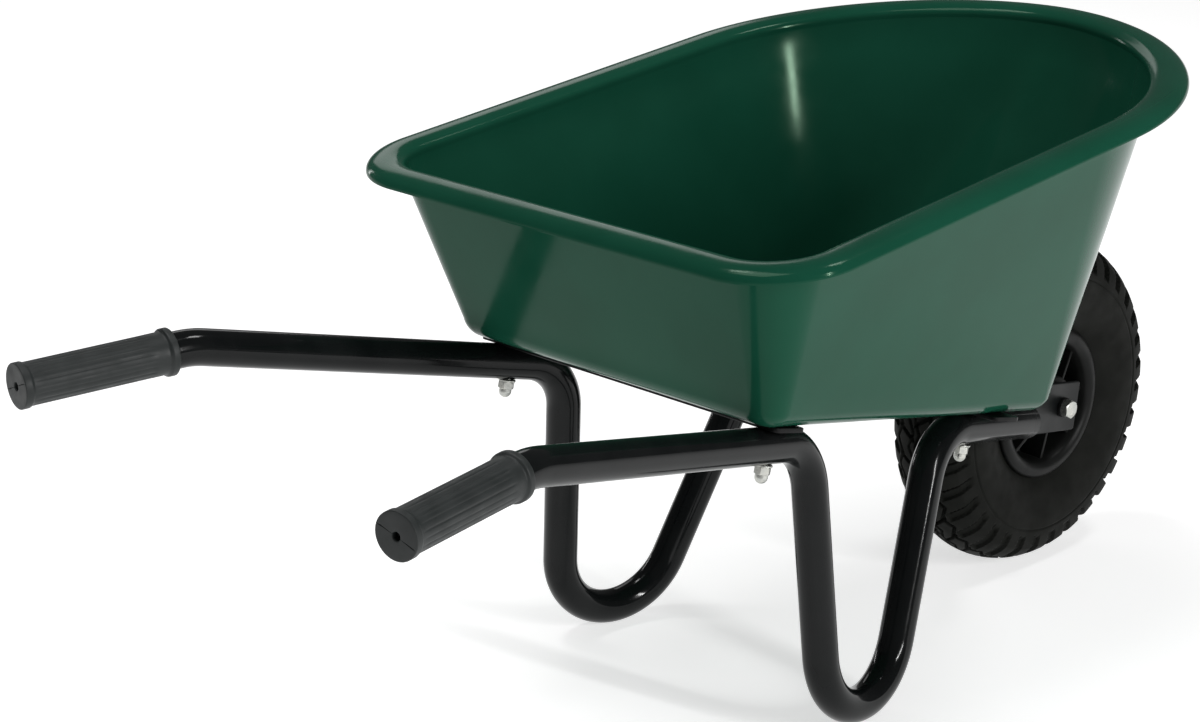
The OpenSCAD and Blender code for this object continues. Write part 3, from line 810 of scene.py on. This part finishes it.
def tray_loop():
    """Matched points round the floor and the rim, each with its place and the direction out of its edge."""
    floor_side = 90 - math.degrees(math.atan((FLOOR_REAR_HALF - FLOOR_FRONT_HALF) / FLOOR_L))
    rim_side = 90 - math.degrees(math.atan((TRAY_HALF - NOSE_HALF) / (RIM_L - NOSE_L)))
    rear_floor = corner_centre((0, FLOOR_REAR_HALF), 180, floor_side, FLOOR_REAR_R)
    front_floor = corner_centre((FLOOR_L, FLOOR_FRONT_HALF), floor_side, 0, FLOOR_FRONT_R)
    rear_rim = corner_centre((0, TRAY_HALF), 180, rim_side, RIM_CORNER_R)
    half = []
    for f in steps(0, 1, 12)[:-1]:
        half.append((Vector((0, f * rear_floor.y)), 180, Vector((0, f * rear_rim.y)), 180))
    for f in steps(0, 1, 28):
        a, b = lerp(180, floor_side, f), lerp(180, rim_side, f)
        on_floor = rear_floor + direction(a) * FLOOR_REAR_R
        half.append((on_floor, a, rear_rim + direction(b) * RIM_CORNER_R, b))
    floor_from = rear_floor + direction(floor_side) * FLOOR_REAR_R
    floor_to = front_floor + direction(floor_side) * FLOOR_FRONT_R
    rim_from = rear_rim + direction(rim_side) * RIM_CORNER_R
    rim_to = nose_point(rim_side)
    for f in steps(0, 1, 16)[1:-1]:
        half.append((floor_from.lerp(floor_to, f), floor_side, rim_from.lerp(rim_to, f), rim_side))
    for f in steps(0, 1, 44):
        a, b = lerp(floor_side, 0, f), lerp(rim_side, NOSE_SPLIT, f)
        half.append((front_floor + direction(a) * FLOOR_FRONT_R, a, nose_point(b), b))
    for f in steps(1, 0, 20)[1:]:
        y = front_floor.y * f
        wave = 180 * min(1, y / HOLLOW_HALF)
        back = WHEEL_HOLLOW * (1 + cosd(wave)) / 2
        turn = -math.degrees(math.atan(WHEEL_HOLLOW * math.pi / 2 / HOLLOW_HALF * sind(wave)))
        half.append((Vector((FLOOR_L - back, y)), turn, nose_point(NOSE_SPLIT * f), NOSE_SPLIT * f))
    other = [(Vector((p.x, -p.y)), -a, Vector((q.x, -q.y)), -b) for p, a, q, b in half[-2:0:-1]]
    return half + other


LOOP = tray_loop()


def floor_ring(g, h):
    """The floor's edge, g further out and h above the floor's underside."""
    out = []
    for p, a, _, _ in LOOP:
        q = p + direction(a) * g
        x = q.x + FLOOR_REAR_X / cosd(LOAD_SLOPE)
        out.append(LOAD_ORIGIN + LOAD_X * x + Vector((0, q.y, 0)) + LOAD_UP * h)
    return out


def rim_ring(g, h):
    """The rim's edge, g further out and h above the rim's plane."""
    out = []
    for _, _, p, a in LOOP:
        q = p + direction(a) * g
        out.append(Vector((RIM_REAR_X + q.x * cosd(RIM_SLOPE) - h * sind(RIM_SLOPE), q.y,
                           RIM_REAR_Z + q.x * sind(RIM_SLOPE) + h * cosd(RIM_SLOPE))))
    return out


def fillet_rings(g, h, r):
    """From the flat floor up the fillet to the foot of the wall."""
    start = g - r * tand((90 - WALL_FLARE) / 2)
    rings = [floor_ring(start - FLAT_EDGE, h)]
    for a in steps(-90, -WALL_FLARE, 12):
        rings.append(floor_ring(start + r * cosd(a), h + r + r * sind(a)))
    return rings


def wall_rings(low, high):
    """Rings up a wall, between its foot and its top."""
    return [[p.lerp(q, t) for p, q in zip(low, high)] for t in steps(0, 1, 10)[1:-1]]


# The rolled rim's section: distance out from its edge, and height above its plane.
LIP_UNDER = [(-LIP_W + TRAY_WALL, -5), (-LIP_W + TRAY_WALL + 4, 0.2), (-9, 0.2), (-4, -2), (-3, -LIP_DROP)]
LIP_OVER = [(0, -LIP_DROP), (0, -3.6), (-1, -1.2), (-3.6, 1.2), (-8, 3), (-14, 3.6), (-20, 3.2),
            (-25, 1.2), (-LIP_W - 0.3, -1.6), (-LIP_W - 0.6, -6)]


def tray_shell():
    """One skin: from the floor up the outer wall, round the rim, and down the inner wall."""
    outside = fillet_rings(0, 0, FLOOR_FILLET)
    inside = fillet_rings(-WALL_INSET, TRAY_WALL, FLOOR_FILLET - TRAY_WALL)
    under = [rim_ring(g, h) for g, h in rounded(LIP_UNDER, 1.2, closed=False)]
    over = [rim_ring(g, h) for g, h in curve_through(LIP_OVER, 4)]
    rings = outside + wall_rings(outside[-1], under[0]) + under + over
    rings += wall_rings(over[-1], inside[-1]) + inside[::-1]
    return loft([[tuple(p) for p in ring] for ring in rings])


# ---- wheel ----
wheel = place((0, 0, TYRE_R), (1, 0, 0), (0, 0, 1), (0, 1, 0))
CROWN_R = 40                   # the tyre's section is an arc across the tread,
SIDE_R = 58                    # and an arc down each sidewall, whose centre is this far
SIDE_C = 93                    # from the axle
BEAD_R = 51
BEAD_TOE = 13                  # the bead's inner edge, from the middle
TYRE_WALL = 5
CROWN_WALL = 1.6 * TYRE_WALL
LINE_R = 100                   # a fine line runs round each sidewall here
LINE_DEPTH = 0.8
LINE_HALF = 0.4
PITCHES = 35                   # the tread repeats this often
PITCH_POINTS = 28
TREAD_DEPTH = 5.0
GROOVE_SLOPE = 0.7             # how far a groove's wall leans over, in millimetres
LUG_FROM = 17                  # the shoulder's lugs, along the section from the middle of the tread
LUG_TO = 41
LUG_LEAN = 0.010               # pitches round the tyre for each millimetre along the section
SLIT_HALF = 1.0                # half width of the slit between two lugs
STEP_AT = 4.4                  # a wide shallow cut beside each slit: its middle, half width and share of
STEP_HALF = 3.3                # the tread's depth
STEP_SHARE = 0.5
SIPE_TO = 14                   # the cuts across the middle blocks reach out to here
SIPE_LEAN = 0.030
SIPE_HALF = 1.2
SIPE_SHARE = 0.9
WAVE_SHARE = 0.8               # the zigzag grooves' share of the depth
INNER_WAVE = (2.6, 2.4, 0.6)   # the middle of each, how far it swings, and its half width
OUTER_WAVE = (15, 3.0, 0.9)


def tyre_section():
    """Half of the outer section: radius, distance from the middle, the way out, and length along it."""
    rise = SIDE_C - TYRE_R + CROWN_R
    inset = SIDE_R - TYRE_HALF
    # The angle at which the crown's arc meets the sidewall's.
    crown_end = math.degrees(math.asin((SIDE_R ** 2 - CROWN_R ** 2 - rise ** 2 - inset ** 2)
                                       / (2 * CROWN_R * math.hypot(inset, rise))))
    crown_end += math.degrees(math.atan2(rise, inset))
    out = []
    for a in steps(0, crown_end, 44):
        r, y = TYRE_R - CROWN_R * (1 - cosd(a)), CROWN_R * sind(a)
        out.append((r, y, cosd(a), sind(a), CROWN_R * math.radians(a)))
    shoulder = out[-1]
    high = math.degrees(math.asin((shoulder[0] - SIDE_C) / SIDE_R))
    low = math.degrees(math.asin((BEAD_R - SIDE_C) / SIDE_R))
    below_line = math.degrees(math.asin((LINE_R - 3 - SIDE_C) / SIDE_R))
    for a in steps(high, below_line, 30)[1:] + steps(below_line, low, 16)[1:]:
        r, y = SIDE_C + SIDE_R * sind(a), SIDE_R * cosd(a) - SIDE_R + TYRE_HALF
        out.append((r, y, sind(a), cosd(a), shoulder[4] + SIDE_R * math.radians(high - a)))
    return out


def groove(distance, half_width):
    """1 in the middle of a groove and 0 outside it, with sloping walls."""
    return 1 - smooth((abs(distance) - half_width) / GROOVE_SLOPE)


def zigzag(turn):
    """From -1 to 1 and back, once a turn."""
    return abs(4 * (turn - math.floor(turn)) - 2) - 1


def tread_cut(turn, along):
    """How deep the tread is cut. turn counts pitches round it, along is the length from its middle."""
    pitch = 2 * math.pi * TYRE_R / PITCHES
    lug = turn + LUG_LEAN * (along - 30)
    from_slit = (lug - round(lug)) * pitch
    block = turn + 0.5 + SIPE_LEAN * (along - 8)
    from_sipe = (block - round(block)) * pitch
    shoulder = smooth((along - LUG_FROM) / 2) * (1 - smooth((along - LUG_TO) / 6))
    inner_at, inner_swing, inner_half = INNER_WAVE
    outer_at, outer_swing, outer_half = OUTER_WAVE
    cuts = [
        WAVE_SHARE * groove(along - zigzag(turn) * inner_swing - inner_at, inner_half),
        WAVE_SHARE * groove(along - outer_at - outer_swing * zigzag(turn + 0.2), outer_half),
        SIPE_SHARE * groove(from_sipe, SIPE_HALF) * (1 - smooth((along - SIPE_TO) / 2)),
        shoulder * groove(from_slit, SLIT_HALF),
        shoulder * STEP_SHARE * groove(from_slit - STEP_AT, STEP_HALF),
    ]
    return TREAD_DEPTH * max(cuts)


def tyre_lining():
    """The inner side of half the tyre's section, from the middle of the tread to the bead."""
    inner_r = CROWN_R - CROWN_WALL
    out = [(TYRE_R - CROWN_R + inner_r * cosd(a), inner_r * sind(a)) for a in steps(0, 44, 8)]
    side_r = SIDE_R - TYRE_WALL
    low = math.degrees(math.asin((BEAD_R + 3 - SIDE_C) / side_r))
    out += [(SIDE_C + side_r * sind(a), side_r * cosd(a) - SIDE_R + TYRE_HALF) for a in steps(22, low, 10)]
    return out + [(BEAD_R, BEAD_TOE)]


def tyre():
    """The whole tyre, from one pitch's sections. The two sides of the tread are half a pitch apart."""
    outer = tyre_section()
    inner = tyre_lining()
    columns = []
    for i in range(PITCH_POINTS):
        column = {}
        for side, shift in ((1, 0), (-1, 0.5)):
            turn = i / PITCH_POINTS + shift
            rows = []
            for r, y, out_r, out_y, along in outer:
                line = LINE_DEPTH * groove(r - LINE_R, LINE_HALF) * (along > LUG_TO - 1)
                cut = tread_cut(turn, along) + line
                rows.append((r - cut * out_r, side * (y - cut * out_y)))
            column[side] = rows
        loop = column[1] + [(r, y) for r, y in reversed(inner)]
        loop += [(r, -y) for r, y in inner[1:]] + column[-1][:0:-1]
        columns.append(loop)
    rings = []
    for k, a in enumerate(turns(PITCHES * PITCH_POINTS)):
        rings.append([wheel(r * cosd(a), r * sind(a), y) for r, y in columns[k % PITCH_POINTS]])
    return loft(rings, loop=True)


HUB_R = 22
HUB_HALF = 32.3                # from the middle to the hub's end
BUSH_R = 12.05
RIM_HALF_W = 30.3
FLANGE_R = 60.3
WELL_R = 46                    # inside of the barrel
SEAT_R = BEAD_R - 1.5          # outside of the barrel, between the beads
SPLIT = 0.02                   # how far each half stays from the middle
WEB_T = 3
RIM_EDGE = 2.0
RIM_SPACING = 3.5              # between rings of points, along the section
RIB_COUNT = 8
RIB_HALF = 1.5
RIB_CROWN = 0.35               # how far the top of a rib falls away to its sides
RIB_BELOW_HUB = 4
RIB_BELOW_RIM = 7
FOOT_HALF = 2.5                # a low step at the foot of each rib
FOOT_H = 0.5
GAP_POINTS = 8                 # between two ribs


def rim_half(side):
    """One moulded half: barrel and flange, web, hub and ribs. side is 1 on the left and -1 on the right."""
    section = [(BUSH_R, SPLIT), (BUSH_R, HUB_HALF), (HUB_R, HUB_HALF - 0.4), (HUB_R + 0.6, WEB_T),
               (WELL_R - 0.6, WEB_T), (WELL_R, 21), (48, 27.5), (52.5, RIM_HALF_W), (57.5, 29.6),
               (FLANGE_R, 26.4), (58.4, 22.6), (SEAT_R, 21.5), (SEAT_R, SPLIT)]
    beside = [0.9, RIB_HALF - 0.1, RIB_HALF + 0.15, 2.2, 3.2]
    offsets = [-o for o in reversed(beside)] + [0] + beside
    spacing = 360 / RIB_COUNT
    rings = []
    for r, h in split_up(rounded(section, RIM_EDGE), RIM_SPACING):
        on_web = 1 < h < HUB_HALF and HUB_R < r < WELL_R + 1.2
        top = lerp(HUB_HALF - RIB_BELOW_HUB, RIM_HALF_W - RIB_BELOW_RIM, (r - HUB_R) / (WELL_R - HUB_R))
        places = [(math.degrees(o / r), abs(o)) for o in offsets]
        first, last = places[-1][0], spacing + places[0][0]
        places += [(lerp(first, last, (i + 1) / (GAP_POINTS + 1)), math.inf) for i in range(GAP_POINTS)]
        ring = []
        for k in range(RIB_COUNT):
            middle = -90 + k * spacing
            for turn, away in places:
                raised = h
                if on_web and away < RIB_HALF:
                    raised = max(h, top - RIB_CROWN * smooth((away - 0.5) / 0.9))
                elif on_web and away < FOOT_HALF:
                    raised = max(h, WEB_T + FOOT_H)
                ring.append(wheel(r * cosd(middle + turn), r * sind(middle + turn), side * raised))
        rings.append(ring)
    return loft(rings, loop=True)


STEM_R = 4
STEM_NECK_R = 3.6
STEM_BORE_R = 1.2
STEM_FOOT_R = 3.9
STEM_FOOT_L = 12.6
STEM_BEND = 4                  # from the stem's inner end to the middle of its foot
STEM_SHOULDER = (5, 4.5)       # below the cap, where the stem starts and stops narrowing to its neck
STEM_EDGE = 0.3
CAP_FOOT_R = 4.5
CAP_TOP_R = 3.5
CAP_EDGE = 0.6
PIN_R = 0.4                    # radius of the fine bore that a turned shape has in its middle
KNURL_DEPTH = 0.35
KNURL_SIDES = 48


def valve():
    """The stem through the rim, turned out to the left, and its cap with a knurled side."""
    low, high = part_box("valve_cap")
    x = (low.x + high.x) / 2 / MM - AXLE_X
    z = (low.z + high.z) / 2 / MM
    along = place((x, 0, z), (1, 0, 0), (0, 0, 1), (0, 1, 0))
    cap_low, cap_high = low.y / MM, high.y / MM
    stem_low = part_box("valve_stem")[0].y / MM
    start, end = stem_low + 0.5, cap_low - 0.1
    neck_from, neck_to = (cap_low - below for below in STEM_SHOULDER)
    outline = [(STEM_BORE_R, start), (STEM_R, start), (STEM_R, neck_from), (STEM_NECK_R, neck_to),
               (STEM_NECK_R, end), (STEM_BORE_R, end)]
    stem = lathe(rounded(outline, STEM_EDGE), along, KNURL_SIDES)
    out = Vector((x, z - TYRE_R)).normalized()
    foot = place((x, stem_low + STEM_BEND, z), (0, 1, 0), (-out.y, 0, out.x), (out.x, 0, out.y))
    outline = [(PIN_R, 0), (STEM_FOOT_R, 0), (STEM_FOOT_R, STEM_FOOT_L), (PIN_R, STEM_FOOT_L)]
    stem_foot = lathe(rounded(outline, STEM_EDGE), foot, KNURL_SIDES)
    outline = [(PIN_R, cap_low), (CAP_FOOT_R, cap_low), (CAP_TOP_R, cap_high), (PIN_R, cap_high)]
    cap = []
    for r, h in rounded(outline, CAP_EDGE):
        ring = []
        for i, a in enumerate(turns(KNURL_SIDES)):
            cut = KNURL_DEPTH * (i % 2) * (r > CAP_TOP_R - 0.1)
            ring.append(along((r - cut) * cosd(a), (r - cut) * sind(a), h))
        cap.append(ring)
    return [stem, stem_foot], [loft(cap, loop=True)]


# ---- axle ----
AXLE_R = 4
AXLE_BORE_R = AXLE_R + 0.3
AXLE_TIP = 0.8                 # chamfer
PLATE_OUT = FORK_HALF + PLATE_T
COLLAR_L = 3.5
COLLAR_R = 7.75
COLLAR_EDGE = 0.6
HEAD_AF = 13                   # head and nut, across the flats
HEAD_H = 5.3
HEAD_DISH = ((4.2, 0.25), (5.0, 0.2), (5.5, 0))    # radius and depth of the shallow dish in the head
NUT_L = 6.5
NUT_BORE_R = AXLE_R + 0.05
NUT_MOUTH_R = AXLE_R + 0.6     # where the bore opens out at the end
BOLT_PAST = 9                  # the bolt's end, beyond the collar
HAT_FROM = 34                  # the raised washers: their flange, from the middle of the wheel,
HAT_STEP = 36
HAT_R = 18                     # and the radius of the flange and of the raised middle
HAT_RAISED_R = 10
HAT_EDGE = 0.5


def axle_washer(side):
    """A wide washer with a raised middle, which keeps its flange off the plate."""
    section = [(AXLE_BORE_R, HAT_FROM), (HAT_R, HAT_FROM), (HAT_R, HAT_STEP), (HAT_RAISED_R, HAT_STEP),
               (HAT_RAISED_R, FORK_HALF), (AXLE_BORE_R, FORK_HALF)]
    return lathe([(r, side * h) for r, h in rounded(section, HAT_EDGE)], wheel, 96)


def axle_bolt():
    """Hexagon head on the right, and the shank through to the nut on the left."""
    out = -PLATE_OUT - COLLAR_L
    end = PLATE_OUT + COLLAR_L + BOLT_PAST
    rings = hexagon(HEAD_AF, out - HEAD_H, out, wheel, chamfer_high=False)
    dish = [circle_ring(r, out - HEAD_H + depth, wheel) for r, depth in HEAD_DISH]
    shank = [(AXLE_R, out), (AXLE_R, end - AXLE_TIP), (AXLE_R - AXLE_TIP, end)]
    return loft(dish + rings + [circle_ring(r, h, wheel) for r, h in shank])


def axle_nut():
    """The nut, up from the collar, and back down through its bore."""
    low = PLATE_OUT + COLLAR_L
    bore = [(NUT_MOUTH_R, low + NUT_L), (NUT_BORE_R, low + NUT_L - 0.5), (NUT_BORE_R, low)]
    rings = hexagon(HEAD_AF, low, low + NUT_L, wheel)
    return loft(rings + [circle_ring(r, h, wheel) for r, h in bore], loop=True)


# ---- every piece, in its place ----
def add_pieces():
    tube = frame_tube()
    handle = grip()
    new_piece("frame_tube_right", [tube], BLACK, "frame", "right_frame_tube", 50)
    new_piece("frame_tube_left", [mirrored(tube)], BLACK, "frame", "left_frame_tube", 50)
    new_piece("grip_right", [handle], GRIP, "frame", "right_grip", 70)
    new_piece("grip_left", [mirrored(handle)], GRIP, "frame", "left_grip", 70)
    new_piece("tray_shell", [tray_shell()], GREEN, "frame", "tray", 60)
    for name, u, half in zip(("rear", "front"), BOLT_US, STRIP_HALVES):
        strip = cross_strip(u, half)
        new_piece(f"strip_{name}", [strip], STRIP, "frame", f"{name}_cross_strip")
    places = bolt_places()
    bolts = [tray_bolt(to) for to in places]
    head_washers = [washer(BOLT_WASHER_R, WASHER_BORE_R, TRAY_WALL, TRAY_WALL + BOLT_WASHER_T, to)
                    for to in places]
    nut_washers = [washer(NUT_WASHER_R, WASHER_BORE_R, -CLAMP_T - NUT_WASHER_T, -CLAMP_T, to)
                   for to in places]
    new_piece("bolts", bolts, ZINC, "frame", "tray_bolts")
    new_piece("bolt_washers", head_washers, ZINC, "frame", "tray_bolt_washers")
    new_piece("nut_discs", nut_washers, ZINC, "frame", "nut_washers")
    new_piece("cap_nuts", [cap_nut(to) for to in places], ZINC, "frame", "tray_nuts", 25)
    new_piece("axle_bolt_hex", [axle_bolt()], ZINC, "frame", "axle_bolt", 25)
    new_piece("axle_nut_hex", [axle_nut()], ZINC, "frame", "axle_nut", 25)
    collars = [washer(COLLAR_R, AXLE_BORE_R, side * PLATE_OUT, side * (PLATE_OUT + COLLAR_L), wheel,
                      COLLAR_EDGE) for side in (1, -1)]
    new_piece("plate_collars", collars, COLLAR, "frame", "axle_collars")
    new_piece("hat_washers", [axle_washer(1), axle_washer(-1)], ZINC, "frame", "axle_washers")
    new_piece("tyre_block_tread", [tyre()], TYRE, "wheel", "tyre", 60)
    new_piece("rim_left", [rim_half(1)], RIM, "wheel", "rim_half_left", 45)
    new_piece("rim_right", [rim_half(-1)], RIM, "wheel", "rim_half_right", 45)
    stem, cap = valve()
    new_piece("valve_stem_brass", stem, BRASS, "wheel", "valve_stem")
    new_piece("valve_cap_ribbed", cap, COLLAR, "wheel", "valve_cap")


def dress_frame_nodes():
    """The CAD nodes that stay, each with its own finish."""
    finishes = {"inner_tube": TUBE, "axle_sleeve": STEEL, "hub_bushes": NYLON, "rim_screws": SCREW}
    for name, finish in finishes.items():
        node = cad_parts[name]
        for slot in node.material_slots:
            slot.material = finish
        node.data.shade_smooth()
        node.data.set_sharp_from_angle(angle=math.radians(35))


add_pieces()
dress_frame_nodes()
